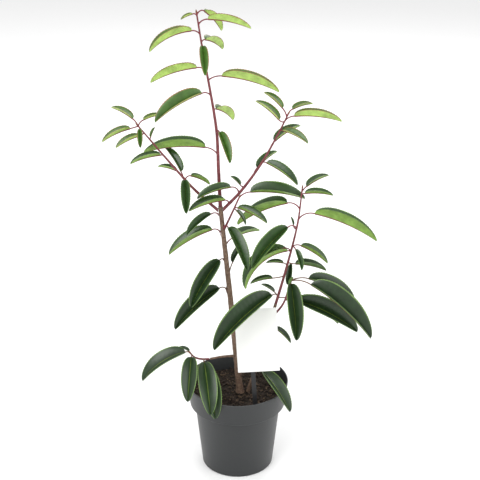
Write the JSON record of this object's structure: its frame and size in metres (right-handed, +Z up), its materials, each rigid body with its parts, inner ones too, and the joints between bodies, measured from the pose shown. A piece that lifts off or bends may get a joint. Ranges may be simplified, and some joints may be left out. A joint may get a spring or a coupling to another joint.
{
  "type": "potted Portuguese laurel",
  "caption": "Young evergreen laurel shrub with red stems and folded glossy leaves, in a black round nursery pot with a picture label on a stake.",
  "frame": {"origin": "middle of the pot's flat underside, on the surface that it stands on", "axes": "+Z up along the plant's height, +X to the right as seen from the front, +Y to the back"},
  "size_m": [0.3467, 0.1584, 0.6439],
  "materials": {
    "pot": "satin",
    "soil": "matte",
    "label_card": "gloss",
    "label_stake": "satin",
    "bark": "matte",
    "red_bark": "satin",
    "foliage": "satin"
  },
  "bodies": {
    "root": {"inner_foliage": "foliage", "label_card": "label_card", "label_stake": "label_stake", "leader": "red_bark", "left_bough": "red_bark", "left_foliage": "foliage", "low_bough": "bark", "low_left_foliage": "foliage", "low_right_foliage": "foliage", "pot": "pot", "right_bough": "red_bark", "right_bough_leaf_1": "foliage", "right_bough_leaf_2": "foliage", "right_bough_leaf_3": "foliage", "right_foliage": "foliage", "second_stem": "bark", "second_stem_leaf_2": "foliage", "side_bough": "red_bark", "side_foliage": "foliage", "soil": "soil", "tall_foliage": "foliage", "top_foliage": "foliage", "trunk": "bark", "trunk_leaf_1": "foliage", "trunk_leaf_2": "foliage", "trunk_leaf_3": "foliage", "trunk_leaf_4": "foliage", "trunk_leaf_5": "foliage", "trunk_leaf_6": "foliage", "trunk_leaf_7": "foliage"}
  },
  "joints": []
}
